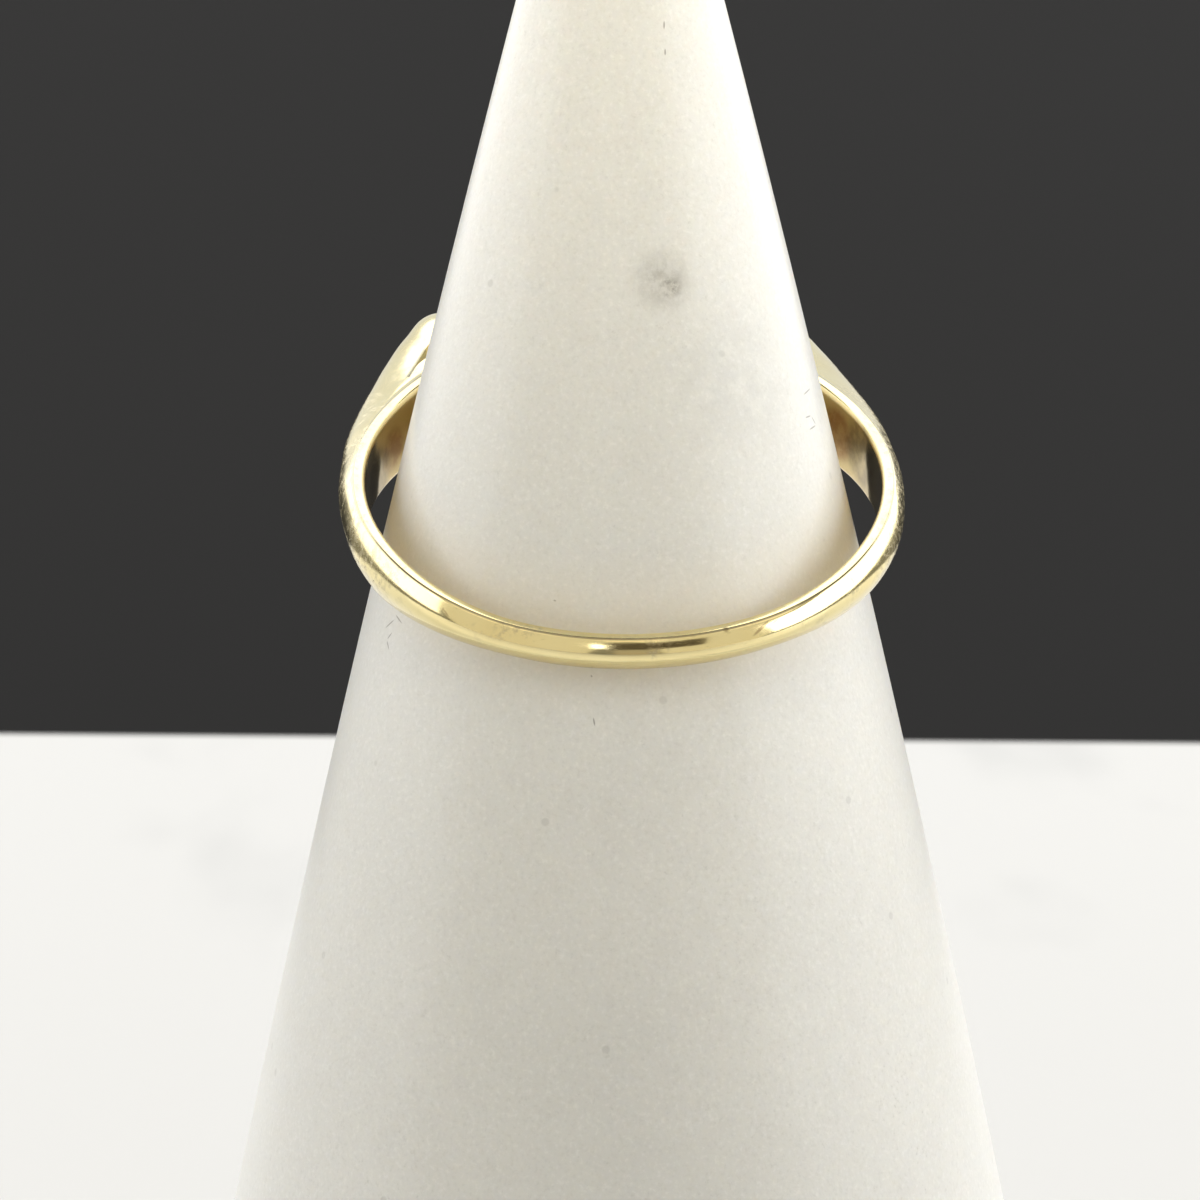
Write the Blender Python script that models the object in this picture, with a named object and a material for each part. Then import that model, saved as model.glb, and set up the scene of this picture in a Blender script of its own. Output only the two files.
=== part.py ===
"""Halo ring resting tilted on a plain marble cone: gold body, centre stone, sixteen halo stones, cone."""
import math

import bmesh
import bpy
from mathutils import Matrix, Vector

for old in list(bpy.data.objects):
    bpy.data.objects.remove(old, do_unlink=True)

# Everything is modelled in millimetres, and the finished objects are brought to Blender's metre.
MM = 0.001

# Cone: a solid turned stand, bowed out a little between its foot and the apex above its rounded tip.
CONE_FOOT = 19.0
CONE_APEX = 82.4
CONE_BOW = 1.0
CONE_TIP_START = 73.0
CONE_FOOT_BEVEL = 0.5
CONE_STEPS = 72

# Band: an inner diameter of 17.3 mm, a flat side and a low dome.
BORE_RADIUS = 8.65
BORE_ROUNDING = 0.2
SIDE_FACE = 0.42
SHANK_STEPS = 120
# Width along the finger and radial thickness, against the angle from the head in degrees.
WIDTH = ((0, 1.9), (20, 2.6), (36, 3.1), (60, 2.72), (90, 2.4), (115, 1.98), (135, 1.5), (155, 1.2),
         (180, 1.18))
THICK = ((16, 4.93), (25, 5.65), (32, 4.65), (40, 3.5), (48, 2.62), (56, 2.02), (65, 1.55), (78, 1.06),
         (100, 0.79), (180, 0.79))
SHOULDER_TOP = 13.05
# How far down the side the flat of the dome reaches, as a share of the half width: 1 would be a square edge.
DOME_FLAT = 0.37

# Open space between band and arches: radii and angles of the band under it, then points on the arches.
BAND_TOP = 10.25
SLOT_END_TOP = 9.6
SLOT_END = 46.7
SLOT_OPENS = 36
ARCH_UNDER = ((6.26, 9.25), (5.85, 10.3), (5.2, 11.35), (4.4, 12.0), (3.4, 12.2), (3.0, 12.4), (3.0, 13.6))
WINDOW_REACH = 2.6

# Head: heights are distances from the ring's centre.
PLATE_LOW, PLATE_TOP = 12.4, 13.3
PLATE_INNER, PLATE_OUTER = 2.45, 4.6
HALO_COUNT = 16
HALO_RADIUS = 3.75
HALO_STONE = 1.3
HALO_GIRDLE = 13.36
CENTRE_STONE = 5.0
CENTRE_GIRDLE = 14.0
STONE_GAP = 0.03
BEAD_ROWS = ((4.2, 0.3), (3.3, 0.22))
BEAD_LOW, BEAD_TOP = 12.9, 13.62
CLAW_FOOT = (0.72, 9.15)
CLAW_HEAD = (2.56, 14.32)
CLAW_RADIUS = 0.36
GALLERY = (1.22, 1.78, 11.0, 11.4)

# Cut of a round brilliant: shares of the diameter, then radii of its rings as shares of the girdle's.
GIRDLE_HALF, CROWN, PAVILION = 0.015, 0.16, 0.43
TABLE_FACET, STAR, LOWER_HALF = 0.56, 0.79, 0.24

# Rest on the cone: where the ring's centre is, and how the ring is tilted, leaned and turned, in degrees.
RING_CENTRE = (0.1207, -0.88, 52.93)
RING_TILT = 22.6
RING_LEAN = 0.39
RING_TURN = 4.075


def table(points, angle):
    """Smooth reading of a table: a cubic through its points that doesn't overshoot."""
    x = [p[0] for p in points]
    y = [p[1] for p in points]
    angle = min(max(angle, x[0]), x[-1])
    step = [b - a for a, b in zip(x, x[1:])]
    rise = [(b - a) / h for a, b, h in zip(y, y[1:], step)]
    slope = [0.0] * len(x)
    for i in range(1, len(x) - 1):
        if rise[i - 1] * rise[i] > 0:
            a, b = 2 * step[i] + step[i - 1], step[i] + 2 * step[i - 1]
            slope[i] = (a + b) / (a / rise[i - 1] + b / rise[i])
    i = max(k for k in range(len(x) - 1) if x[k] <= angle)
    t, h = (angle - x[i]) / step[i], step[i]
    start = (1 + 2 * t) * (1 - t) ** 2 * y[i] + t * (1 - t) ** 2 * h * slope[i]
    return start + t * t * (3 - 2 * t) * y[i + 1] + t * t * (t - 1) * h * slope[i + 1]


def outline(points, closed=True):
    """A new bmesh holding a chain of edges through points."""
    bm = bmesh.new()
    verts = [bm.verts.new(p) for p in points]
    pairs = list(zip(verts, verts[1:]))
    if closed:
        pairs.append((verts[-1], verts[0]))
    for a, b in pairs:
        bm.edges.new((a, b))
    return bm


def turn_round(bm, steps):
    """Turns the chain of edges in bm once round +Z."""
    bmesh.ops.spin(bm, geom=list(bm.verts) + list(bm.edges), cent=(0, 0, 0), axis=(0, 0, 1),
                   angle=math.tau, steps=steps, use_merge=True, use_duplicate=False)
    bmesh.ops.remove_doubles(bm, verts=bm.verts, dist=1e-4)
    bmesh.ops.recalc_face_normals(bm, faces=bm.faces)


def spun(points, steps, closed=True):
    """A body turned round +Z from a chain of (radius, height) points."""
    bm = outline([(r, 0, h) for r, h in points], closed)
    turn_round(bm, steps)
    return bm


def copies(part, places):
    """A new bmesh with a copy of a small one at each place."""
    bm = bmesh.new()
    mesh = bpy.data.meshes.new("copy")
    for place in places:
        placed = part.copy()
        placed.transform(place)
        placed.to_mesh(mesh)
        placed.free()
        bm.from_mesh(mesh)
    bpy.data.meshes.remove(mesh)
    part.free()
    return bm


def new_object(name, bm):
    """Links an object made from a bmesh whose bent four-sided faces are split first."""
    bmesh.ops.triangulate(bm, faces=[f for f in bm.faces if len(f.verts) == 4])
    mesh = bpy.data.meshes.new(name)
    bm.to_mesh(mesh)
    bm.free()
    obj = bpy.data.objects.new(name, mesh)
    bpy.context.collection.objects.link(obj)
    return obj


def combine(obj, bm, kind, smallest=0.0005):
    """Applies an exact Boolean with a shape, then merges points closer than the smallest distance."""
    cutter = new_object("cutter", bm)
    mod = obj.modifiers.new(kind.lower(), "BOOLEAN")
    mod.operation = kind
    mod.solver = "EXACT"
    mod.object = cutter
    bpy.context.view_layer.update()
    result = bmesh.new()
    result.from_object(obj, bpy.context.evaluated_depsgraph_get())
    bmesh.ops.remove_doubles(result, verts=result.verts, dist=smallest)
    bmesh.ops.dissolve_degenerate(result, edges=result.edges, dist=smallest)
    obj.modifiers.clear()
    result.to_mesh(obj.data)
    result.free()
    bpy.data.meshes.remove(cutter.data)


def material(name, colour, metallic, roughness, transmission=0.0, ior=1.5):
    """A plain Principled material."""
    made = bpy.data.materials.new(name)
    made.use_nodes = True
    made.diffuse_color = (*colour, 1)
    node = made.node_tree.nodes["Principled BSDF"]
    node.inputs["Base Color"].default_value = (*colour, 1)
    node.inputs["Metallic"].default_value = metallic
    node.inputs["Roughness"].default_value = roughness
    node.inputs["Transmission Weight"].default_value = transmission
    node.inputs["IOR"].default_value = ior
    return made


def cone_radius(height):
    """The cone's radius at a height."""
    up = height / CONE_APEX
    return CONE_FOOT * (1 - up) + 4 * CONE_BOW * up * (1 - up)


def cone_body(side_points=12, tip_points=8):
    """Cone with a small bevel round its foot and a ball-shaped tip that meets its side smoothly."""
    rise = (CONE_TIP_START - CONE_FOOT_BEVEL) / side_points
    side = [(cone_radius(h), h) for h in (CONE_FOOT_BEVEL + rise * k for k in range(side_points))]
    lean = math.atan(cone_radius(CONE_TIP_START - 0.5) - cone_radius(CONE_TIP_START + 0.5))
    ball = cone_radius(CONE_TIP_START) / math.cos(lean)
    middle = CONE_TIP_START - ball * math.sin(lean)
    angles = [lean + (math.pi / 2 - lean) * k / tip_points for k in range(tip_points)]
    tip = [(ball * math.cos(a), middle + ball * math.sin(a)) for a in angles]
    foot = cone_radius(CONE_FOOT_BEVEL) - CONE_FOOT_BEVEL
    return spun([(0, 0), (foot, 0)] + side + tip + [(0, middle + ball)], CONE_STEPS, closed=False)


def section(off, dome_steps=4):
    """The band's outline at an angle from the head as (radius, height) points: bore, side, dome, side."""
    if off < THICK[0][0]:
        thick = SHOULDER_TOP / math.cos(math.radians(off)) - BORE_RADIUS
    else:
        thick = table(THICK, off)
    half = table(WIDTH, off) / 2
    side = min(SIDE_FACE, 0.6 * thick)
    over = []
    for k in range(3):
        a = math.pi / 4 * k
        height = half - BORE_ROUNDING * (1 - math.sin(a))
        over.append((BORE_RADIUS + BORE_ROUNDING * (1 - math.cos(a)), height))
    for k in range(dome_steps + 1):
        t = k / dome_steps
        start = (1 - t) ** 2
        height = half * (start + 2 * t * (1 - t) * DOME_FLAT)
        over.append((BORE_RADIUS + side * start + thick * (1 - start), height))
    return over + [(r, -h) for r, h in reversed(over[:-1])]


def shank():
    """Band, shoulders and arches: one section turned round the finger, then given its size at each angle."""
    bm = outline([(r, 0, h) for r, h in section(90)])
    place = bm.verts.layers.int.new("place")
    for k, vert in enumerate(bm.verts):
        vert[place] = k
    turn_round(bm, SHANK_STEPS)
    for vert in bm.verts:
        off = abs(math.degrees(math.atan2(vert.co.x, vert.co.y)))
        radius, vert.co.z = section(off)[vert[place]]
        vert.co.xy = vert.co.xy.normalized() * radius
    return bm


def window(band_points=16):
    """The open space between the band and both arches, up through the head's middle."""
    band = []
    for k in range(-band_points, band_points + 1):
        a = SLOT_END * k / band_points
        near_end = max(0.0, (abs(a) - SLOT_OPENS) / (SLOT_END - SLOT_OPENS))
        r = BAND_TOP - (BAND_TOP - SLOT_END_TOP) * near_end ** 2
        band.append((r * math.sin(math.radians(a)), r * math.cos(math.radians(a))))
    end_x, end_y = band[-1]
    right = [(end_x + 0.03, end_y + 0.09)] + list(ARCH_UNDER)
    around = band + right + [(-x, y) for x, y in reversed(right)]
    bm = outline([(x, y, -WINDOW_REACH) for x, y in around])
    bmesh.ops.contextual_create(bm, geom=list(bm.edges))
    made = bmesh.ops.extrude_face_region(bm, geom=list(bm.faces))
    top = [v for v in made["geom"] if isinstance(v, bmesh.types.BMVert)]
    bmesh.ops.translate(bm, verts=top, vec=(0, 0, 2 * WINDOW_REACH))
    bmesh.ops.recalc_face_normals(bm, faces=bm.faces)
    return bm


def flat_ring(inner, outer, low, top, steps):
    """Flat ring plate round the head's axis."""
    return spun([(inner, low), (outer, low), (outer, top), (inner, top)], steps)


def claws():
    """Four round bars leaning out from the band to the centre stone's edge, with domed tips over it."""
    foot = Vector((CLAW_FOOT[0], 0, CLAW_FOOT[1]))
    along = Vector((CLAW_HEAD[0], 0, CLAW_HEAD[1])) - foot
    long = along.length
    profile = [(0, 0), (0.94 * CLAW_RADIUS, 0), (CLAW_RADIUS, long), (0.8 * CLAW_RADIUS, long + 0.2),
               (0.42 * CLAW_RADIUS, long + 0.31), (0, long + 0.34)]
    lean = Matrix.Translation(foot) @ Matrix.Rotation(math.atan2(along.x, along.z), 4, "Y")
    places = [Matrix.Rotation(math.radians(45 + 90 * k), 4, "Z") @ lean for k in range(4)]
    return copies(spun(profile, 10, closed=False), places)


def halo_places(radius, height, between=0.0, twist=0.0):
    """Where the halo stones sit round the head's axis, or the points between them."""
    places = []
    for k in range(HALO_COUNT):
        turned = Matrix.Rotation(math.tau * (k + between) / HALO_COUNT, 4, "Z")
        places.append(turned @ Matrix.Translation((radius, 0, height)) @ Matrix.Rotation(twist, 4, "Z"))
    return places


def beads(radius, size):
    """One row of small round posts between neighbouring halo stones."""
    profile = [(0, BEAD_LOW), (size, BEAD_LOW), (size, BEAD_TOP - 0.17), (0.72 * size, BEAD_TOP - 0.07),
               (0, BEAD_TOP)]
    return copies(spun(profile, 7, closed=False), halo_places(radius, 0, between=0.5, twist=0.1))


def seat(diameter, hole, depth, sides):
    """Cutter a little larger than a stone, with a straight hole below it down to a depth."""
    r = diameter / 2
    wide = (r + STONE_GAP) / math.cos(math.pi / sides)
    larger = wide / r
    half, crown, pavilion = (share * diameter * larger for share in (GIRDLE_HALF, CROWN, PAVILION))
    reach = half + pavilion * (1 - hole / wide)
    profile = [(0, half + crown), (0.62 * wide, half + crown), (wide, half), (wide, -half), (hole, -reach),
               (hole, -depth), (0, -depth)]
    return spun(profile, sides, closed=False)


def brilliant(diameter):
    """Round brilliant about its girdle's middle, table up: the flat facets between its rings of corners."""
    r = diameter / 2
    half, crown, pavilion = (share * diameter for share in (GIRDLE_HALF, CROWN, PAVILION))
    flat = math.cos(math.pi / 8)
    star_height = half + crown * (1 - STAR * flat) / (1 - TABLE_FACET)
    lower_height = -half - pavilion * (1 - LOWER_HALF * flat)
    rings = ((8, TABLE_FACET, half + crown, 0), (8, STAR, star_height, 0.5), (16, 1, half, 0),
             (16, 1, -half, 0), (8, LOWER_HALF, lower_height, 0.5))
    bm = bmesh.new()
    for count, share, height, offset in rings:
        for k in range(count):
            a = math.tau * (k + offset) / count
            bm.verts.new((r * share * math.cos(a), r * share * math.sin(a), height))
    bm.verts.new((0, 0, -half - pavilion))
    bmesh.ops.convex_hull(bm, input=list(bm.verts))
    bmesh.ops.dissolve_limit(bm, angle_limit=math.radians(0.5), verts=bm.verts, edges=bm.edges)
    return bm


def finish(obj, look, smooth):
    """Gives an object its material, its shading and the metre."""
    obj.data.materials.clear()
    obj.data.materials.append(look)
    obj.data.transform(Matrix.Scale(MM, 4))
    if smooth:
        obj.data.shade_smooth()
        obj.data.set_sharp_from_angle(angle=math.radians(35))


# The ring stands on this empty: x' across the finger, y' towards the head, z' along the finger.
pose = bpy.data.objects.new("ring_pose", None)
bpy.context.collection.objects.link(pose)
pose.matrix_world = (Matrix.Translation(Vector(RING_CENTRE) * MM)
                     @ Matrix.Rotation(math.radians(RING_LEAN), 4, "Y")
                     @ Matrix.Rotation(math.radians(RING_TILT), 4, "X")
                     @ Matrix.Rotation(math.radians(RING_TURN), 4, "Z"))
# The head is modelled upright and laid over, so that its +Z becomes y'.
HEAD = Matrix.Rotation(math.radians(-90), 4, "X")


def laid(bm):
    """Lays a shape modelled upright over into the head's direction."""
    bm.transform(HEAD)
    return bm


cone = new_object("ring_cone", cone_body())
finish(cone, material("marble", (0.75, 0.74, 0.70), 0.0, 0.35), smooth=True)

ring_body = new_object("ring_body", shank())
combine(ring_body, window(), "DIFFERENCE")
combine(ring_body, laid(flat_ring(PLATE_INNER, PLATE_OUTER, PLATE_LOW, PLATE_TOP, 64)), "UNION")
combine(ring_body, laid(claws()), "UNION")
combine(ring_body, laid(flat_ring(*GALLERY, 32)), "UNION")
for bead_radius, bead_size in BEAD_ROWS:
    combine(ring_body, laid(beads(bead_radius, bead_size)), "UNION")
halo_seat = seat(HALO_STONE, 0.22, HALO_GIRDLE - PLATE_LOW + 0.3, 12)
combine(ring_body, laid(copies(halo_seat, halo_places(HALO_RADIUS, HALO_GIRDLE))), "DIFFERENCE")
centre_seat = seat(CENTRE_STONE, 0.1, 2.4, 32)
centre_seat.transform(Matrix.Translation((0, 0, CENTRE_GIRDLE)))
combine(ring_body, laid(centre_seat), "DIFFERENCE")
finish(ring_body, material("gold", (0.87, 0.77, 0.43), 1.0, 0.12), smooth=True)
ring_body.parent = pose

centre_stone = new_object("centre_stone", brilliant(CENTRE_STONE))
centre_clear = material("centre_clear", (0.95, 0.96, 0.97), 0.0, 0.0, transmission=1.0, ior=2.4)
finish(centre_stone, centre_clear, smooth=False)
halo_stone = new_object("halo_stone_01", brilliant(HALO_STONE))
halo_clear = material("halo_clear", (0.94, 0.95, 0.97), 0.0, 0.0, transmission=1.0, ior=2.4)
finish(halo_stone, halo_clear, smooth=False)
stones = [(centre_stone, Matrix.Translation((0, 0, CENTRE_GIRDLE)))]
for k, place in enumerate(halo_places(HALO_RADIUS, HALO_GIRDLE)):
    if k:
        halo_stone = bpy.data.objects.new(f"halo_stone_{k + 1:02d}", halo_stone.data)
        bpy.context.collection.objects.link(halo_stone)
    stones.append((halo_stone, place))
for stone, place in stones:
    stone.parent = pose
    place = HEAD @ place
    stone.location = place.translation * MM
    stone.rotation_euler = place.to_euler()
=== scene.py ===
"""Looks of a halo ring that rests tilted on a marble ring cone, seen from the back of its shank."""

import math

import bmesh
import bpy
from mathutils import Matrix, Vector


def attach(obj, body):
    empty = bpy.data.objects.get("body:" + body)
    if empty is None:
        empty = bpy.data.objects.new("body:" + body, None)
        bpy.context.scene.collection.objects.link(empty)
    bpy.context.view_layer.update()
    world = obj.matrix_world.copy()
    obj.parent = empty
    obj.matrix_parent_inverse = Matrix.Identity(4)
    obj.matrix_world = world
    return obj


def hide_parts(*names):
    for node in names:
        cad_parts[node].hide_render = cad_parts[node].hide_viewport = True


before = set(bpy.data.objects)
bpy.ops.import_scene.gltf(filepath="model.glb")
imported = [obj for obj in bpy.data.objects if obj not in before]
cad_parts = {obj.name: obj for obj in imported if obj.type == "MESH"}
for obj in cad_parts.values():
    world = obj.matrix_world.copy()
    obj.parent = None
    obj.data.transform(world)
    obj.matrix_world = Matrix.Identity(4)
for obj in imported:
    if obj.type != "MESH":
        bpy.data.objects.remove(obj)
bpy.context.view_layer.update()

# The model is worked out in millimetres, as in the part's source, and Blender's unit is the metre.
MM = 0.001

# The cone's side runs from its foot radius to an apex above its rounded tip, and bows out a little midway.
CONE_FOOT = 19.0
CONE_APEX = 82.4
CONE_BOW = 1.0
CONE_TIP_START = 73.0
CONE_FOOT_BEVEL = 0.5

# The band: its bore, the flat of its side, and the rounding of the bore's rim and of the crease.
BORE_RADIUS = 8.65
SIDE_FACE = 0.42
BORE_ROUNDING = 0.2
CREASE_ROUNDING = 0.045
# Width along the finger and radial thickness, against the angle from the head in degrees.
WIDTH = ((0, 1.9), (20, 2.6), (36, 3.1), (60, 2.72), (90, 2.4), (115, 1.98), (135, 1.5), (155, 1.2),
         (180, 1.18))
THICK = ((16, 4.93), (25, 5.65), (32, 4.65), (40, 3.5), (48, 2.62), (56, 2.02), (65, 1.55), (78, 1.06),
         (100, 0.79), (180, 0.79))
SHOULDER_TOP = 13.05
# How far down the side the flat of the dome reaches, as a share of the half width: 1 would be a square edge.
DOME_FLAT = 0.37

# Open space between band and arches: radii and angles of the band under it, then points on the arches.
BAND_TOP = 10.25
SLOT_END_TOP = 9.6
SLOT_END = 46.7
SLOT_OPENS = 36
SLOT_CORNER = (0.03, 0.09)
ARCH_UNDER = ((6.26, 9.25), (5.85, 10.3), (5.2, 11.35), (4.4, 12.0), (3.4, 12.2), (3.0, 12.4), (3.0, 13.6))
WINDOW_REACH = 2.6

# Head: heights are distances from the ring's centre.
PLATE_LOW, PLATE_TOP = 12.4, 13.3
PLATE_INNER, PLATE_OUTER = 2.45, 4.6
PLATE_ROUNDING = 0.09
HALO_COUNT = 16
HALO_RADIUS = 3.75
HALO_STONE = 1.3
HALO_GIRDLE = 13.36
STONE_GAP = 0.03
# A seat's mouth and ledge, as heights from the stone's girdle, and the radius and ends of the hole below it.
SEAT_MOUTH, SEAT_LEDGE = 0.4, -0.02
SEAT_HOLE = 0.22
SEAT_HOLE_TOP, SEAT_HOLE_LOW = -0.42, -1.3
# Rows of beads: distance from the head's middle and radius of a bead, then how much taller than round it is.
BEAD_ROWS = ((4.2, 0.29), (3.3, 0.21))
BEAD_STRETCH = 1.25
BEAD_SUNK = 0.02

# The centre stone's room between the claws: its table, girdle and point, as heights from the girdle.
CENTRE_STONE = 5.0
CENTRE_GIRDLE = 14.0
CENTRE_TABLE_SHARE = 0.6
CENTRE_CROWN, CENTRE_GIRDLE_HALF, CENTRE_PAVILION = 0.95, 0.09, 2.25
# Claws, as (distance from the head's middle, height), and their radius below and round the tip.
CLAW_COUNT = 4
CLAW_FOOT, CLAW_HEAD = (0.72, 9.15), (2.56, 14.32)
CLAW_RADIUS, CLAW_TIP = 0.34, 0.36
CLAW_TIP_ANGLES = (0, 0.26, 0.52, 0.79, 1.05, 1.31)
GALLERY_INNER, GALLERY_OUTER = 1.22, 1.78
GALLERY_LOW, GALLERY_TOP = 11.0, 11.4
GALLERY_ROUNDING = 0.07

# Edges that bend by more degrees than this stay sharp.
SHARP_EDGE = 35
# Lengths and heights closer than these count as the same.
SAME_RADIUS, SAME_HEIGHT = 1e-3, 1e-4

# Rest on the cone: where the ring's centre is, and how the ring is tilted, leaned and turned, in degrees.
RING_CENTRE = (0.1207, -0.88, 52.93)
RING_TILT = 22.6
RING_LEAN = 0.39
RING_TURN = 4.075

POSE = (Matrix.Translation(RING_CENTRE) @ Matrix.Rotation(math.radians(RING_LEAN), 4, "Y")
        @ Matrix.Rotation(math.radians(RING_TILT), 4, "X") @ Matrix.Rotation(math.radians(RING_TURN), 4, "Z"))
# The head is modelled upright and laid over, so that its +Z becomes the ring's direction towards the head.
HEAD = POSE @ Matrix.Rotation(math.radians(-90), 4, "X")


class Value:
    """A shader socket whose arithmetic in Python adds Math nodes."""

    def __init__(self, shader, socket):
        self.shader = shader
        self.socket = socket

    def __add__(self, other):
        return self.shader.maths("ADD", self, other)

    def __radd__(self, other):
        return self.shader.maths("ADD", other, self)

    def __sub__(self, other):
        return self.shader.maths("SUBTRACT", self, other)

    def __rsub__(self, other):
        return self.shader.maths("SUBTRACT", other, self)

    def __mul__(self, other):
        return self.shader.maths("MULTIPLY", self, other)

    def __rmul__(self, other):
        return self.shader.maths("MULTIPLY", other, self)


class Shader:
    """A new material; every node in it comes from node()."""

    def __init__(self, name):
        self.material = bpy.data.materials.new(name)
        self.material.use_nodes = True
        self.tree = self.material.node_tree
        self.surface = self.tree.nodes["Principled BSDF"]

    def node(self, kind, settings, sockets, output=0):
        """A new node: its settings are made first, then its sockets are given values or links."""
        made = self.tree.nodes.new(kind)
        for key, value in settings.items():
            setattr(made, key, value)
        for key, value in sockets.items():
            self.feed(made.inputs[key], value)
        return Value(self, made.outputs[output])

    def feed(self, socket, value):
        """Gives a socket a number, a colour or a link."""
        if isinstance(value, Value):
            self.tree.links.new(value.socket, socket)
        else:
            socket.default_value = value

    def maths(self, operation, a, b):
        """One step of arithmetic on numbers or links."""
        return self.node("ShaderNodeMath", {"operation": operation}, {0: a, 1: b})

    def mix(self, factor, a, b):
        """Colour mix; a and b are colours or links."""
        return self.node("ShaderNodeMix", {"data_type": "RGBA"}, {0: factor, 6: a, 7: b}, output=2)

    def between(self, value, low, high, out_low=0.0, out_high=1.0):
        """Smooth step of a value from low to high."""
        sockets = {"Value": value, "From Min": low, "From Max": high, "To Min": out_low, "To Max": out_high}
        return self.node("ShaderNodeMapRange", {"interpolation_type": "SMOOTHSTEP"}, sockets)

    def fade(self, value, low, high):
        """1 up to low, falling to 0 at high."""
        return self.between(value, low, high, 1.0, 0.0)

    def vectors(self, operation, a, b, output=0):
        """Vector Math on two vectors; a length or a distance is output 1."""
        return self.node("ShaderNodeVectorMath", {"operation": operation}, {0: a, 1: b}, output)

    def axis(self, vector, number):
        """One of a vector's three numbers."""
        return self.node("ShaderNodeSeparateXYZ", {}, {0: vector}, output=number)

    def size(self, value):
        """A value without its sign."""
        return self.maths("ABSOLUTE", value, 0)

    def place(self, offset=(0, 0, 0), turned=(0, 0, 0), scale=(1, 1, 1)):
        """Object coordinates in millimetres, moved, turned and stretched."""
        raw = self.node("ShaderNodeTexCoord", {}, {}, output=3)
        sockets = {"Vector": raw, "Location": offset, "Rotation": turned,
                   "Scale": tuple(stretch / MM for stretch in scale)}
        return self.node("ShaderNodeMapping", {"vector_type": "POINT"}, sockets)

    def ring_place(self):
        """Object coordinates turned into the ring's own: sideways, towards the head, along the finger."""
        in_ring = POSE.inverted()
        return self.place(offset=tuple(in_ring.translation), turned=tuple(in_ring.to_euler()))

    def noise(self, where, size, detail=2.0, roughness=0.5, distortion=0.0):
        """Noise with features about size millimetres across."""
        sockets = {"Vector": where, "Scale": 1 / size, "Detail": detail, "Roughness": roughness,
                   "Distortion": distortion}
        return self.node("ShaderNodeTexNoise", {}, sockets)

    def near(self, centre, inner, outer):
        """1 within inner millimetres of a point, falling to 0 at outer."""
        return self.fade(self.vectors("DISTANCE", self.place(), centre, output=1), inner, outer)

    def streak(self, start, end, width):
        """1 on a fine line about width millimetres thick between two points."""
        start, end = Vector(start), Vector(end)
        middle, reach = (start + end) / 2, (end - start).length / 2
        turn = (end - start).to_track_quat("X", "Z").inverted().to_euler()
        local = self.vectors("SUBTRACT", self.place(), tuple(middle))
        sockets = {"Vector": local, "Rotation": tuple(turn), "Scale": (1, 1, 1)}
        local = self.node("ShaderNodeMapping", {"vector_type": "POINT"}, sockets)
        thin = self.vectors("MULTIPLY", local, (width / reach, 1, 1))
        return self.fade(self.vectors("LENGTH", thin, (0, 0, 0), output=1), 0.5 * width, width)

    def dots(self, spacing, inner, outer, bare):
        """1 on small dots scattered about spacing millimetres apart; a share of the places stays bare."""
        sockets = {"Vector": self.place(), "Scale": 1 / spacing}
        gap = self.node("ShaderNodeTexVoronoi", {}, sockets)
        draw = self.node("ShaderNodeTexVoronoi", {}, sockets, output=1)
        shown = self.between(self.node("ShaderNodeSeparateColor", {}, {0: draw}), bare, bare + 0.02)
        return self.fade(gap, inner / spacing, outer / spacing) * shown

    def bump(self, height, strength, distance, over=None):
        """Relief with its depth in millimetres, laid over another one if there is one."""
        sockets = {"Height": height, "Strength": strength, "Distance": distance * MM}
        if over is not None:
            sockets["Normal"] = over
        return self.node("ShaderNodeBump", {}, sockets)

    def set(self, **sockets):
        """Feeds sockets of the surface; an underscore stands for a space in their names."""
        for key, value in sockets.items():
            self.feed(self.surface.inputs[key.replace("_", " ")], value)
        return self.material


def shank_point(angle, radius, along):
    """A point of the ring: degrees round from the head, distance from the centre, place along the finger."""
    a = math.radians(angle)
    return tuple(POSE @ Vector((radius * math.sin(a), radius * math.cos(a), along)))


# Tones of the gold: clean metal, the bore's painted shade and its deeper patches, what lies in worn places
# and marks, and the painted shade in the slot and along the crease.
GOLD_LIGHT = (0.90, 0.79, 0.44, 1)
GOLD_DEEP = (0.87, 0.745, 0.39, 1)
BORE_SHADE = (0.62, 0.44, 0.20, 1)
RUSSET = (0.40, 0.20, 0.09, 1)
UMBER = (0.22, 0.17, 0.09, 1)
TARNISH = (0.42, 0.36, 0.26, 1)
FINE_SCRATCH = (0.40, 0.33, 0.19, 1)
LONG_SCRATCH = (0.30, 0.21, 0.11, 1)
SLOT_SHADE = (0.20, 0.18, 0.09, 1)
CREASE_SHADE = (0.15, 0.13, 0.10, 1)

# The slot's narrow end, where painted shade is laid, lies along a line in the ring's plane: its normal, and
# its distance from the centre.
ARCH_ACROSS, ARCH_ALONG, ARCH_DISTANCE = 0.959, 0.283, 8.62
# Longer scratches in the gold, each from one (angle, distance, place along the finger) to another.
SCRATCHES = (((-134.6, 9.05, 0.60), (-139.4, 9.36, 0.30)), ((-137.6, 9.03, 0.60), (-137.0, 9.33, 0.36)),
             ((149.6, 9.20, 0.55), (154.0, 9.30, 0.42)), ((152.6, 9.12, 0.55), (158.0, 9.40, 0.24)))
SCRATCH_WIDTH = 0.07
NICK = (162.7, 9.06, 0.57)
# Patches of painted shade inside the band: angle, place along the finger, reach in millimetres, strength and
# tone.
BORE_SHADE_PATCHES = ((62.5, 0.05, 1.15, 0.75, RUSSET), (74.5, 0.15, 1.5, 0.75, UMBER),
                (-62.5, -0.1, 1.0, 0.70, RUSSET), (-71.5, -0.55, 1.4, 0.75, UMBER))


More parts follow.
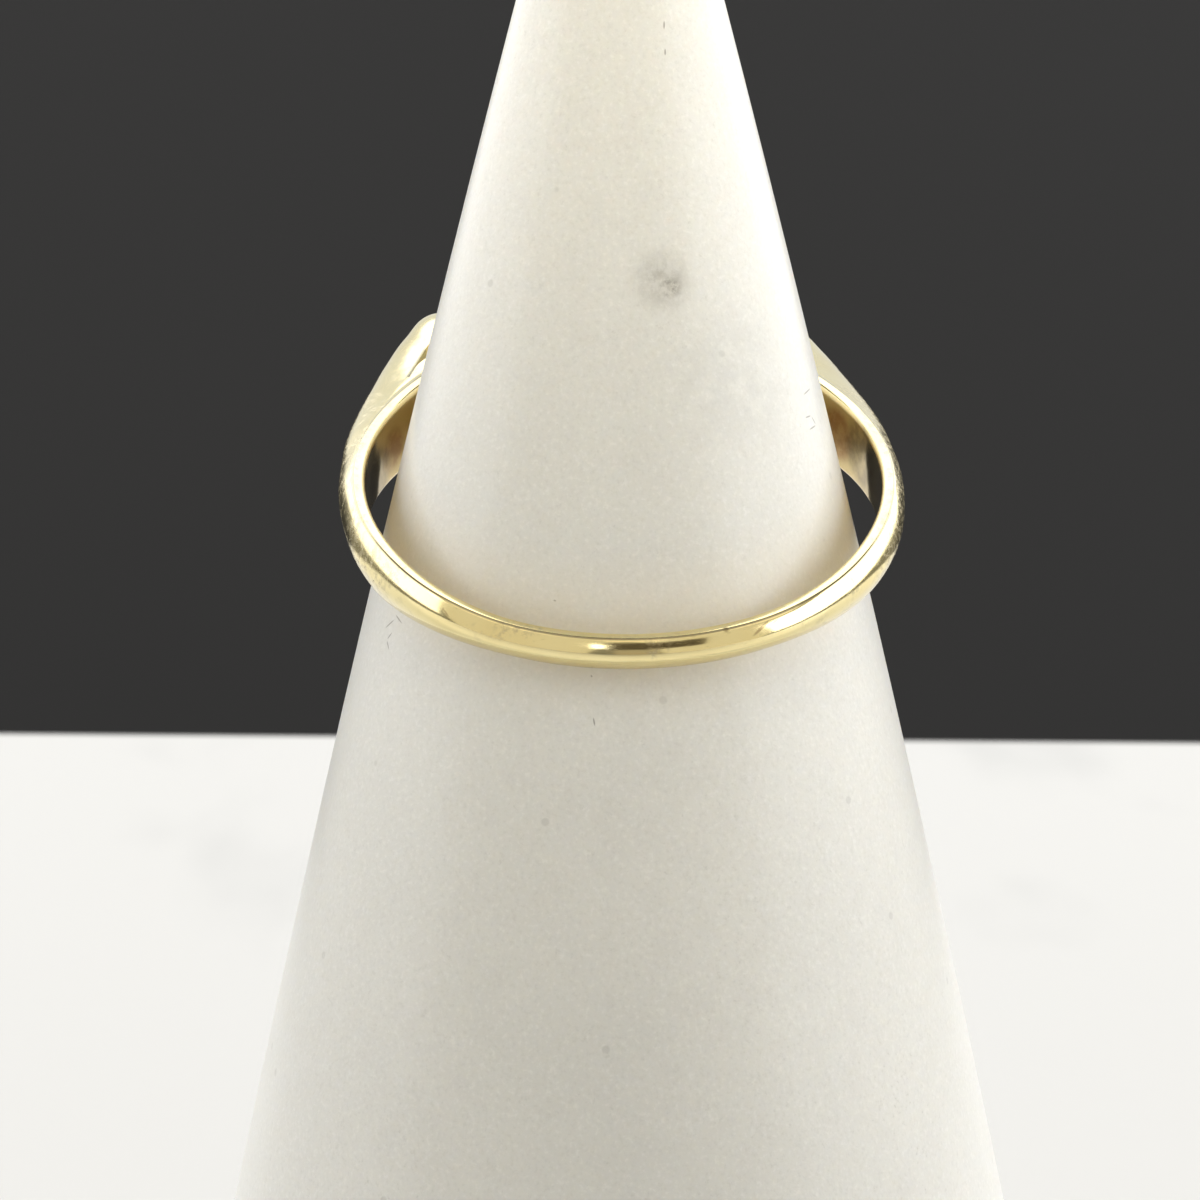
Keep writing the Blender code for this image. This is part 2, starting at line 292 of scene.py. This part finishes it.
def polished_gold():
    """Pale yellow gold, polished by hand and worn: hairlines, painted shade along the crease and in the slot,
    and a bore painted darker as shade.
    """
    s = Shader("polished_gold")
    where, ring_place = s.place(), s.ring_place()
    sideways, towards_head, along = (s.axis(ring_place, number) for number in range(3))
    sideways = s.size(sideways)
    from_axis = s.vectors("LENGTH", s.vectors("MULTIPLY", ring_place, (1, 1, 0)), (0, 0, 0), output=1)
    cloud = s.noise(where, 2.2, detail=3)
    hairline = s.noise(s.place(turned=(0.3, 0.5, 0.9), scale=(1, 14, 14)), 0.9, detail=2, roughness=0.6)
    peel = s.noise(where, 0.9, detail=1)
    fine = s.noise(where, 0.22, detail=3, roughness=0.7)
    strokes = s.noise(s.place(turned=(0.9, 0.2, 0.5), scale=(0.8, 9, 9)), 0.7, detail=3)

    outside = s.between(from_axis, BORE_RADIUS + 0.1, BORE_RADIUS + 0.3)
    flanks = s.between(sideways, 7.4, 9.2) * outside
    worn = s.between(s.noise(where, 1.6, detail=3, roughness=0.6) + 0.22 * flanks, 0.50, 0.68)
    tarnish = worn * s.between(fine, 0.42, 0.66) * outside
    scratch = s.between(strokes, 0.66, 0.70)
    # Painted shade: a dark line along the crease between the flat side and the dome.
    crease = s.fade(s.size(from_axis - (BORE_RADIUS + SIDE_FACE)), 0.012, 0.045)
    bore = s.fade(from_axis, BORE_RADIUS + 0.02, BORE_RADIUS + 0.12)
    ragged = 0.55 + 0.45 * s.between(s.noise(where, 0.5, detail=4, roughness=0.7), 0.35, 0.60)
    nick = s.near(shank_point(*NICK), 0.04, 0.15)
    # Painted shade: a dark line along each arch's underside at the slot's narrow end.
    arch_edge = s.size(ARCH_ACROSS * sideways + ARCH_ALONG * towards_head - ARCH_DISTANCE)
    slot_shade = (s.fade(arch_edge, 0.05, 0.12) * s.between(towards_head, 6.5, 6.7)
                  * s.fade(towards_head, 8.8, 9.3))

    colour = s.mix(s.between(cloud, 0.35, 0.68), GOLD_LIGHT, GOLD_DEEP)
    # Painted shade: the bore, which faces the cone and reflects its shaded side, is painted a darker brown,
    # with patches of deeper painted shade.
    colour = s.mix(bore * s.between(along, 0.2, 1.0, 0.60, 0.40), colour, BORE_SHADE)
    for angle, place, reach, strength, tone in BORE_SHADE_PATCHES:
        patch = s.near(shank_point(angle, BORE_RADIUS, place), 0.6 * reach, reach)
        colour = s.mix(strength * patch * ragged * bore, colour, tone)
    colour = s.mix(0.52 * tarnish, colour, TARNISH)
    colour = s.mix(0.22 * scratch, colour, FINE_SCRATCH)
    # Painted shade in the slot.
    colour = s.mix(0.85 * slot_shade, colour, SLOT_SHADE)
    # Painted shade along the crease.
    colour = s.mix(0.66 * crease, colour, CREASE_SHADE)
    for start, end in SCRATCHES:
        line = s.streak(shank_point(*start), shank_point(*end), SCRATCH_WIDTH)
        colour = s.mix(0.60 * line, colour, LONG_SCRATCH)
    colour = s.mix(0.75 * nick, colour, UMBER)

    rough = 0.08 + 0.05 * cloud + 0.05 * s.between(hairline, 0.56, 0.72) + 0.16 * tarnish + 0.04 * flanks
    lines = s.bump(hairline - 2.0 * scratch - 2.0 * nick, 0.06, 0.004, over=s.bump(peel, 0.10, 0.05))
    return s.set(Base_Color=colour, Metallic=1.0, Roughness=rough, Normal=lines)


def clear_stone(name, tint):
    """Clear faceted stone with polished facets and a trace of haze."""
    s = Shader(name)
    haze = s.noise(s.place(), 0.5, detail=2)
    colour = s.mix(haze, (*tint, 1), (1, 1, 1, 1))
    return s.set(Base_Color=colour, Roughness=0.004 + 0.012 * haze, IOR=2.42, Transmission_Weight=1.0)


def cone_radius(height):
    """The cone's radius at a height."""
    up = height / CONE_APEX
    return CONE_FOOT * (1 - up) + 4 * CONE_BOW * up * (1 - up)


def cone_point(azimuth, height):
    """A point on the cone's side: degrees to the right of the camera's side, and height in millimetres."""
    r = cone_radius(height)
    a = math.radians(azimuth - 90)
    return (r * math.cos(a), r * math.sin(a), height)


# Tones of the marble: ground and clouds, crystals, specks and pits, the grey places, and the painted warm
# light near the band.
MARBLE_WHITE = (0.765, 0.757, 0.72, 1)
MARBLE_CLOUD = (0.715, 0.709, 0.674, 1)
MARBLE_MOTTLE = (0.685, 0.672, 0.64, 1)
CRYSTAL_LIGHT = (0.93, 0.92, 0.89, 1)
CRYSTAL_DARK = (0.58, 0.57, 0.53, 1)
SPECK = (0.50, 0.49, 0.46, 1)
GREY_DOT = (0.45, 0.44, 0.41, 1)
DARK_PIT = (0.16, 0.15, 0.13, 1)
SMUDGE = (0.36, 0.34, 0.30, 1)
GREY_VEIL = (0.46, 0.46, 0.45, 1)
HAIRLINE = (0.20, 0.18, 0.15, 1)
GOLD_BOUNCE_WARM = (0.93, 0.84, 0.66, 1)

# Places on the cone, as azimuth and height: the smudge, its dark heart and the grey veil below it.
SMUDGE_PLACE, HEART_PLACE, VEIL_PLACE = (14, 61.0), (16.5, 60.8), (35, 57.7)
# Fine hairlines in the marble, each from one azimuth and height to another.
HAIRLINES = (((63.9, 56.89), (70.9, 57.03)), ((62.2, 56.18), (66.4, 56.19)), ((66.4, 56.19), (68.5, 55.84)),
             ((68.5, 55.84), (63.0, 55.77)), ((-61.0, 49.75), (-56.8, 49.51)),
             ((-64.7, 49.16), (-60.5, 49.6)), ((-60.5, 49.17), (-62.4, 48.86)),
             ((-62.4, 48.86), (-60.3, 48.56)), ((-6.0, 48.66), (-5.7, 48.57)), ((-5.3, 47.34), (-4.9, 47.04)),
             ((23.6, 69.22), (23.0, 68.91)), ((22.6, 68.34), (22.2, 68.08)), ((-15.1, 50.95), (-14.3, 50.92)))
HAIRLINE_WIDTH = 0.034


def marble():
    """Honed marble: warm white with faint clouds, a sugary grain, flecks, pits, a smudge and hairlines, and
    painted warm light near the band.
    """
    s = Shader("marble")
    where = s.place()
    cloud = s.noise(s.place(scale=(1, 1, 0.5)), 12, detail=3, distortion=0.4)
    grain = s.noise(where, 0.16, detail=2, roughness=0.6)
    mottle = s.noise(where, 0.9, detail=3, roughness=0.6)
    speck = s.noise(where, 0.30, detail=4, roughness=0.8)
    ragged = s.between(s.noise(where, 0.45, detail=5, roughness=0.75), 0.34, 0.62)

    colour = s.mix(s.between(cloud, 0.3, 0.7), MARBLE_WHITE, MARBLE_CLOUD)
    colour = s.mix(0.26 * s.between(mottle, 0.42, 0.68), colour, MARBLE_MOTTLE)
    colour = s.mix(0.28 * s.between(grain, 0.52, 0.75), colour, CRYSTAL_LIGHT)
    colour = s.mix(0.26 * s.between(grain, 0.48, 0.26), colour, CRYSTAL_DARK)
    colour = s.mix(0.30 * s.between(speck, 0.58, 0.73), colour, SPECK)
    colour = s.mix(0.34 * s.dots(1.9, 0.09, 0.17, bare=0.62), colour, GREY_DOT)
    colour = s.mix(0.80 * s.dots(4.3, 0.03, 0.06, bare=0.55), colour, DARK_PIT)
    smudge = s.near(cone_point(*SMUDGE_PLACE), 0.1, 1.35) * (0.40 + 0.60 * ragged)
    colour = s.mix(0.62 * smudge, colour, SMUDGE)
    heart = s.near(cone_point(*HEART_PLACE), 0.05, 0.5) * s.between(speck, 0.45, 0.60)
    colour = s.mix(0.55 * heart, colour, DARK_PIT)
    veil = s.near(cone_point(*VEIL_PLACE), 0.4, 3.2) * s.between(mottle, 0.30, 0.62)
    colour = s.mix(0.20 * veil, colour, GREY_VEIL)
    for start, end in HAIRLINES:
        line = s.streak(cone_point(*start), cone_point(*end), HAIRLINE_WIDTH)
        colour = s.mix(0.70 * line, colour, HAIRLINE)
    # Painted light: a warmer, lighter tint on the marble close to the band stands in for light the gold
    # throws onto it.
    gold_bounce = s.fade(s.size(s.axis(s.ring_place(), 2)), 0.4, 2.6) * (0.6 + 0.4 * mottle)
    colour = s.mix(0.34 * gold_bounce, colour, GOLD_BOUNCE_WARM)

    rough = 0.22 + 0.08 * cloud + 0.08 * grain
    return s.set(Base_Color=colour, Roughness=rough, Normal=s.bump(grain, 0.17, 0.03), Subsurface_Weight=0.5,
                 Subsurface_Radius=(1.0, 0.86, 0.64), Subsurface_Scale=5 * MM)


def table(points, angle):
    """Smooth reading of a table: a cubic through its points that doesn't overshoot."""
    x = [p[0] for p in points]
    y = [p[1] for p in points]
    angle = min(max(angle, x[0]), x[-1])
    step = [b - a for a, b in zip(x, x[1:])]
    rise = [(b - a) / h for a, b, h in zip(y, y[1:], step)]
    slope = [0.0] * len(x)
    for i in range(1, len(x) - 1):
        if rise[i - 1] * rise[i] > 0:
            a, b = 2 * step[i] + step[i - 1], step[i] + 2 * step[i - 1]
            slope[i] = (a + b) / (a / rise[i - 1] + b / rise[i])
    i = max(k for k in range(len(x) - 1) if x[k] <= angle)
    t, h = (angle - x[i]) / step[i], step[i]
    start = (1 + 2 * t) * (1 - t) ** 2 * y[i] + t * (1 - t) ** 2 * h * slope[i]
    return start + t * t * (3 - 2 * t) * y[i + 1] + t * t * (t - 1) * h * slope[i + 1]


def outline(points, closed=True):
    """A new bmesh holding a chain of edges through points."""
    bm = bmesh.new()
    verts = [bm.verts.new(p) for p in points]
    pairs = list(zip(verts, verts[1:]))
    if closed:
        pairs.append((verts[-1], verts[0]))
    for a, b in pairs:
        bm.edges.new((a, b))
    return bm


def turn_round(bm, steps):
    """Turns the chain of edges in bm once round +Z."""
    bmesh.ops.spin(bm, geom=list(bm.verts) + list(bm.edges), cent=(0, 0, 0), axis=(0, 0, 1),
                   angle=math.tau, steps=steps, use_merge=True, use_duplicate=False)
    bmesh.ops.remove_doubles(bm, verts=bm.verts, dist=1e-5)
    bmesh.ops.recalc_face_normals(bm, faces=bm.faces)


def spun(points, steps, closed=True):
    """A body turned round +Z from a chain of (radius, height) points."""
    bm = outline([(r, 0, h) for r, h in points], closed)
    turn_round(bm, steps)
    return bm


def add_copies(bm, part, places):
    """Adds a copy of a small bmesh at each place to bm."""
    mesh = bpy.data.meshes.new("copy")
    for place in places:
        placed = part.copy()
        placed.transform(place)
        placed.to_mesh(mesh)
        placed.free()
        bm.from_mesh(mesh)
    bpy.data.meshes.remove(mesh)
    part.free()


def piece(bm, name, material, node, place):
    """Turns a bmesh in millimetres into a finished piece, smooth but for its sharp edges."""
    bm.transform(Matrix.Scale(MM, 4) @ place)
    mesh = bpy.data.meshes.new(name)
    bm.to_mesh(mesh)
    bm.free()
    mesh.shade_smooth()
    mesh.set_sharp_from_angle(angle=math.radians(SHARP_EDGE))
    mesh.materials.append(material)
    obj = bpy.data.objects.new(name, mesh)
    bpy.context.scene.collection.objects.link(obj)
    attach(obj, "root")
    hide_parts(node)


def cut(bm, cutter):
    """The first bmesh less the second, as a new bmesh."""
    objects = []
    for shape in (bm, cutter):
        mesh = bpy.data.meshes.new("shape")
        shape.to_mesh(mesh)
        shape.free()
        objects.append(bpy.data.objects.new("shape", mesh))
        bpy.context.scene.collection.objects.link(objects[-1])
    body, tool = objects
    mod = body.modifiers.new("cut", "BOOLEAN")
    mod.operation = "DIFFERENCE"
    mod.solver = "EXACT"
    mod.object = tool
    bpy.context.view_layer.update()
    result = bmesh.new()
    result.from_object(body, bpy.context.evaluated_depsgraph_get())
    for obj in objects:
        bpy.data.meshes.remove(obj.data)
    return result


def section(off, steps):
    """The band's outline at an angle from the head, as (radius, height) points: bore, side, dome and back."""
    if off < THICK[0][0]:
        thick = SHOULDER_TOP / math.cos(math.radians(off)) - BORE_RADIUS
    else:
        thick = table(THICK, off)
    half = table(WIDTH, off) / 2
    side = min(SIDE_FACE, 0.6 * thick)
    dome = []
    for k in range(steps + 1):
        t = k / steps
        start = (1 - t) ** 2
        radius = BORE_RADIUS + side * start + thick * (1 - start)
        dome.append((radius, half * (start + 2 * t * (1 - t) * DOME_FLAT)))
    over = [(BORE_RADIUS, half)] + dome
    return over + [(r, -h) for r, h in reversed(over[:-1])]


def soften(bm, edges, rounding, segments):
    """Rounds edges by a radius."""
    bmesh.ops.bevel(bm, geom=edges, affect="EDGES", offset=rounding, segments=segments, profile=0.5,
                    material=-1)


def shank(steps=720, dome_steps=14):
    """Band, shoulders and arches: one section turned round the finger, then given its size all round."""
    bm = outline([(r, 0, h) for r, h in section(90, dome_steps)])
    place = bm.verts.layers.int.new("place")
    for k, vert in enumerate(bm.verts):
        vert[place] = k
    turn_round(bm, steps)
    for vert in bm.verts:
        off = abs(math.degrees(math.atan2(vert.co.x, vert.co.y)))
        radius, vert.co.z = section(off, dome_steps)[vert[place]]
        vert.co.xy = vert.co.xy.normalized() * radius
    last = 2 * dome_steps + 2
    for ends, rounding, segments in (((1, last - 1), CREASE_ROUNDING, 3), ((0, last), BORE_ROUNDING, 6)):
        along = [e for e in bm.edges if e.verts[0][place] == e.verts[1][place] and e.verts[0][place] in ends]
        soften(bm, along, rounding, segments)
    return bm


def window(steps=96):
    """The open space between the band and both arches, up through the head's middle."""
    band = []
    for k in range(steps + 1):
        a = SLOT_END * (2 * k / steps - 1)
        near_end = max(0.0, (abs(a) - SLOT_OPENS) / (SLOT_END - SLOT_OPENS))
        r = BAND_TOP - (BAND_TOP - SLOT_END_TOP) * near_end ** 2
        band.append((r * math.sin(math.radians(a)), r * math.cos(math.radians(a)), -WINDOW_REACH))
    end_x, end_y = band[-1][:2]
    right = [(end_x + SLOT_CORNER[0], end_y + SLOT_CORNER[1])] + list(ARCH_UNDER)
    over = [(x, y, -WINDOW_REACH) for x, y in right] + [(-x, y, -WINDOW_REACH) for x, y in reversed(right)]
    bm = outline(band + over)
    bmesh.ops.contextual_create(bm, geom=list(bm.edges))
    made = bmesh.ops.extrude_face_region(bm, geom=list(bm.faces))
    top = [v for v in made["geom"] if isinstance(v, bmesh.types.BMVert)]
    bmesh.ops.translate(bm, verts=top, vec=(0, 0, 2 * WINDOW_REACH))
    bmesh.ops.recalc_face_normals(bm, faces=bm.faces)
    return bm


def halo_places(height, radius=HALO_RADIUS, between=0.0):
    """Where the halo stones sit, or the points between them."""
    places = []
    for k in range(HALO_COUNT):
        turn_to = Matrix.Rotation(math.tau * (k + between) / HALO_COUNT, 4, "Z")
        places.append(turn_to @ Matrix.Translation((radius, 0, height)))
    return places


def flat_ring(inner, outer, low, top, steps, rounding, segments):
    """A turned ring of square section with softened rims."""
    bm = spun([(inner, low), (outer, low), (outer, top), (inner, top)], steps)
    rims = [e for e in bm.edges if abs(e.verts[0].co.z - e.verts[1].co.z) < SAME_HEIGHT
            and abs(e.verts[0].co.xy.length - e.verts[1].co.xy.length) < SAME_RADIUS]
    soften(bm, rims, rounding, segments)
    return bm


def halo_plate():
    """Flat ring that carries the halo stones, with a tapering seat under each stone."""
    plate = flat_ring(PLATE_INNER, PLATE_OUTER, PLATE_LOW, PLATE_TOP, 192, PLATE_ROUNDING, 4)
    reach = HALO_STONE / 2 + STONE_GAP
    seat = spun([(0, SEAT_MOUTH), (reach, SEAT_MOUTH), (reach, SEAT_LEDGE), (SEAT_HOLE, SEAT_HOLE_TOP),
                 (SEAT_HOLE, SEAT_HOLE_LOW), (0, SEAT_HOLE_LOW)], 24, closed=False)
    seats = bmesh.new()
    add_copies(seats, seat, halo_places(HALO_GIRDLE))
    return cut(plate, seats)


def beads():
    """Round grains pushed up between the halo stones, an outer row and a smaller inner one."""
    bm = bmesh.new()
    for radius, size in BEAD_ROWS:
        grain = bmesh.new()
        bmesh.ops.create_uvsphere(grain, u_segments=16, v_segments=10, radius=size)
        bmesh.ops.scale(grain, verts=grain.verts, vec=(1, 1, BEAD_STRETCH))
        add_copies(bm, grain, halo_places(PLATE_TOP - BEAD_SUNK, radius, between=0.5))
    return bm


def claws():
    """Four tapered bars from the band to the centre stone's edge, with rounded tips over it."""
    foot, head = (Vector((r, 0, h)) for r, h in (CLAW_FOOT, CLAW_HEAD))
    along = head - foot
    long = along.length
    tip = [(CLAW_TIP * math.cos(a), long + CLAW_RADIUS * math.sin(a)) for a in CLAW_TIP_ANGLES]
    bar = spun([(0, 0), (CLAW_RADIUS, 0)] + tip + [(0, long + CLAW_RADIUS)], 24, closed=False)
    lean = Matrix.Translation(foot) @ Matrix.Rotation(math.atan2(along.x, along.z), 4, "Y")
    bm = bmesh.new()
    turns = [math.radians(360 / CLAW_COUNT * (k + 0.5)) for k in range(CLAW_COUNT)]
    add_copies(bm, bar, [Matrix.Rotation(turn, 4, "Z") @ lean for turn in turns])
    stone = CENTRE_STONE / 2 + STONE_GAP
    notch = spun([(0, CENTRE_CROWN), (CENTRE_TABLE_SHARE * stone, CENTRE_CROWN), (stone, CENTRE_GIRDLE_HALF),
                  (stone, -CENTRE_GIRDLE_HALF), (0, -CENTRE_PAVILION)], 96, closed=False)
    notch.transform(Matrix.Translation((0, 0, CENTRE_GIRDLE)))
    return cut(bm, notch)


def gallery():
    """Small ring that joins the four claws under the stone."""
    return flat_ring(GALLERY_INNER, GALLERY_OUTER, GALLERY_LOW, GALLERY_TOP, 96, GALLERY_ROUNDING, 3)


def cone(steps=360, side_steps=24, tip_steps=16):
    """Turned cone with a rounded tip and a small bevel round its foot."""
    rise = CONE_TIP_START - CONE_FOOT_BEVEL
    side = [(cone_radius(h), h) for h in (CONE_FOOT_BEVEL + rise * k / side_steps for k in range(side_steps))]
    start = cone_radius(CONE_TIP_START)
    lean = math.atan(cone_radius(CONE_TIP_START - 0.5) - cone_radius(CONE_TIP_START + 0.5))
    ball = start / math.cos(lean)
    middle = CONE_TIP_START - ball * math.sin(lean)
    tip = [(ball * math.cos(a), middle + ball * math.sin(a))
           for a in (lean + (math.pi / 2 - lean) * k / tip_steps for k in range(tip_steps))]
    foot = cone_radius(CONE_FOOT_BEVEL) - CONE_FOOT_BEVEL
    return spun([(0, 0), (foot, 0)] + side + tip + [(0, middle + ball)], steps, closed=False)


gold = polished_gold()
piece(cut(shank(), window()), "shank_and_shoulders", gold, "ring_body", POSE)
piece(halo_plate(), "halo_plate", gold, "ring_body", HEAD)
piece(beads(), "halo_beads", gold, "ring_body", HEAD)
piece(claws(), "centre_claws", gold, "ring_body", HEAD)
piece(gallery(), "claw_gallery", gold, "ring_body", HEAD)
piece(cone(), "marble_cone", marble(), "ring_cone", Matrix.Identity(4))

# The stones keep the part's own solids and get their material.
centre_clear = clear_stone("centre_clear", (0.97, 0.98, 1.0))
halo_clear = clear_stone("halo_clear", (0.96, 0.97, 1.0))
for name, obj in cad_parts.items():
    if name == "centre_stone":
        obj.material_slots[0].material = centre_clear
    elif name.startswith("halo_stone"):
        obj.material_slots[0].material = halo_clear


def stage_plane(name, corners, shader):
    """A flat sheet of the setting, not part of the object."""
    bm = bmesh.new()
    bm.faces.new([bm.verts.new(c) for c in corners])
    mesh = bpy.data.meshes.new(name)
    bm.to_mesh(mesh)
    bm.free()
    mesh.materials.append(shader)
    obj = bpy.data.objects.new(name, mesh)
    bpy.context.scene.collection.objects.link(obj)
    return obj


# The setting, in metres: a table whose far edge runs a little askew, and a dark cloth behind it.
TABLE_FRONT, TABLE_END, TABLE_HALF_WIDTH = -0.9, 0.2015, 0.7
TABLE_SKEW = 0.031
BACKDROP_BACK, BACKDROP_HALF_WIDTH, BACKDROP_LOW, BACKDROP_TOP = 0.6, 0.45, -0.35, 0.065
# The table's far edge fades out over this many millimetres.
EDGE_BLUR = 3.5
TABLE_NEAR_LIT = (0.78, 0.77, 0.75, 1)
TABLE_FAR_SHADED = (0.595, 0.588, 0.572, 1)
TABLE_BLOTCH = (0.47, 0.47, 0.46, 1)
BACKDROP_GREY = (0.040, 0.040, 0.0415)
FLAG_BROWN = (0.06, 0.045, 0.025)


def table_top():
    """White table with faint grey clouds and painted light that leaves it paler in front, whose far edge is
    out of focus.
    """
    s = Shader("table_top")
    where = s.place()
    along = s.axis(where, 1) + TABLE_SKEW * s.axis(where, 0)
    blotch = s.between(s.noise(s.place(scale=(1, 0.35, 1)), 22, detail=3), 0.55, 0.72)
    # Painted light: the table is painted paler in front and darker from the cone's foot back.
    colour = s.mix(s.between(along, -40, 10), TABLE_NEAR_LIT, TABLE_FAR_SHADED)
    colour = s.mix(0.45 * blotch, colour, TABLE_BLOTCH)
    shown = s.fade(along, TABLE_END / MM - EDGE_BLUR, TABLE_END / MM)
    return s.set(Base_Color=colour, Roughness=0.5, Alpha=shown)


def dark_cloth(name, colour):
    """Plain matt cloth of one tone with a faint unevenness."""
    s = Shader(name)
    tone = s.noise(s.place(), 60, detail=2)
    dim = tuple(0.93 * c for c in colour)
    return s.set(Base_Color=s.mix(tone, (*colour, 1), (*dim, 1)), Roughness=0.9)


end_shift = TABLE_HALF_WIDTH * TABLE_SKEW
stage_plane("floor", [(-TABLE_HALF_WIDTH, TABLE_FRONT, 0), (TABLE_HALF_WIDTH, TABLE_FRONT, 0),
                      (TABLE_HALF_WIDTH, TABLE_END - end_shift, 0),
                      (-TABLE_HALF_WIDTH, TABLE_END + end_shift, 0)], table_top())
stage_plane("backdrop", [(-BACKDROP_HALF_WIDTH, BACKDROP_BACK, BACKDROP_LOW),
                         (BACKDROP_HALF_WIDTH, BACKDROP_BACK, BACKDROP_LOW),
                         (BACKDROP_HALF_WIDTH, BACKDROP_BACK, BACKDROP_TOP),
                         (-BACKDROP_HALF_WIDTH, BACKDROP_BACK, BACKDROP_TOP)],
            dark_cloth("backdrop_cloth", BACKDROP_GREY))


def round_ring(azimuth, elevation, distance):
    """A direction from the ring and the point there: degrees, azimuth to the right of the camera's side."""
    a, e = math.radians(azimuth), math.radians(elevation)
    away = Vector((math.sin(a) * math.cos(e), -math.cos(a) * math.cos(e), math.sin(e)))
    return away, Vector(RING_CENTRE) * MM + away * distance


def flag(azimuth, elevation, wide, high, distance=0.35):
    """Dark board behind the camera, which only polished metal shows."""
    away, middle = round_ring(azimuth, elevation, distance)
    right = Vector((0, 0, 1)).cross(away).normalized()
    up = away.cross(right)
    x, y = (distance * math.tan(math.radians(a / 2)) for a in (wide, high))
    corners = [middle + right * i * x + up * j * y for i, j in ((-1, -1), (1, -1), (1, 1), (-1, 1))]
    obj = stage_plane("flag", corners, dark_cloth("flag_cloth", FLAG_BROWN))
    obj.visible_camera = False
    obj.visible_diffuse = False
    obj.visible_shadow = False
    obj.visible_transmission = False


flag(12.5, 20.5, 31, 12)


def card(name, azimuth, elevation, wide, high, radiance, colour=(1, 1, 1), distance=0.62, seen_by="both"):
    """Softbox round the ring: angles in degrees, azimuth to the right of the camera's side."""
    data = bpy.data.lights.new(name, "AREA")
    data.shape = "RECTANGLE"
    data.size, data.size_y = (2 * distance * math.tan(math.radians(a / 2)) for a in (wide, high))
    data.energy = radiance * math.pi * data.size * data.size_y
    data.color = colour
    obj = bpy.data.objects.new(name, data)
    away, obj.location = round_ring(azimuth, elevation, distance)
    obj.rotation_euler = away.to_track_quat("Z", "Y").to_euler()
    obj.visible_diffuse = seen_by != "gloss"
    obj.visible_glossy = seen_by != "matt"
    bpy.context.scene.collection.objects.link(obj)


# The warm room in front shows only in polished metal, and is dimmer in its middle.
WARM = (1.0, 0.82, 0.56)
LAMPLIT = (1.0, 0.92, 0.76)
COOL = (0.93, 0.97, 1.0)
CREAM = (1.0, 0.955, 0.81)
ROOM_TONE = (0.22, 0.212, 0.19, 1)
card("window_left", -111, 20.5, 84, 38, 2.0)
card("window_right", 103.5, 19, 97, 36, 2.65)
card("above_behind", 180, 50, 98, 50, 2.1)
card("behind", 180, 12, 56, 27, 0.62, COOL)
card("front_left", -38, 27, 58, 62, 0.54, LAMPLIT, seen_by="gloss")
card("front_right", 34, 27, 44, 62, 0.54, LAMPLIT, seen_by="gloss")
card("front_middle_high", 4.5, 43, 15, 30, 0.26, WARM, seen_by="gloss")
card("front_middle_low", 4.5, 5, 15, 18, 0.22, WARM, seen_by="gloss")
card("front_top", 5, 66, 100, 24, 0.40, LAMPLIT, seen_by="gloss")
card("glint", -8, 20, 4, 8, 3.5, seen_by="gloss")
card("front_fill", 0, 55, 80, 50, 0.08, CREAM, seen_by="matt")
card("near_tip", 0, 54, 34, 34, 3.4, CREAM, distance=0.055, seen_by="matt")

world = bpy.data.worlds.new("room")
world.use_nodes = True
room = world.node_tree.nodes["Background"].inputs
room["Color"].default_value = ROOM_TONE
room["Strength"].default_value = 1.0
bpy.context.scene.world = world

# The photograph's camera: a long lens level with the ring and a little above it.
CAMERA_PLACE = (0.1207, -150.208, 78.148)
CAMERA_PITCH = 10.82
CAMERA_YAW = 0.30
FOCAL_PIXELS = 4500
IMAGE_PIXELS = 1200
SENSOR_WIDTH = 36
camera_data = bpy.data.cameras.new("camera")
camera_data.sensor_width = SENSOR_WIDTH
camera_data.lens = FOCAL_PIXELS / IMAGE_PIXELS * SENSOR_WIDTH
camera_data.clip_start = 0.005
camera = bpy.data.objects.new("camera", camera_data)
camera.location = Vector(CAMERA_PLACE) * MM
camera.rotation_euler = (math.radians(90 - CAMERA_PITCH), 0, math.radians(CAMERA_YAW))
bpy.context.scene.collection.objects.link(camera)
bpy.context.scene.camera = camera
bpy.context.scene.view_settings.view_transform = "Standard"
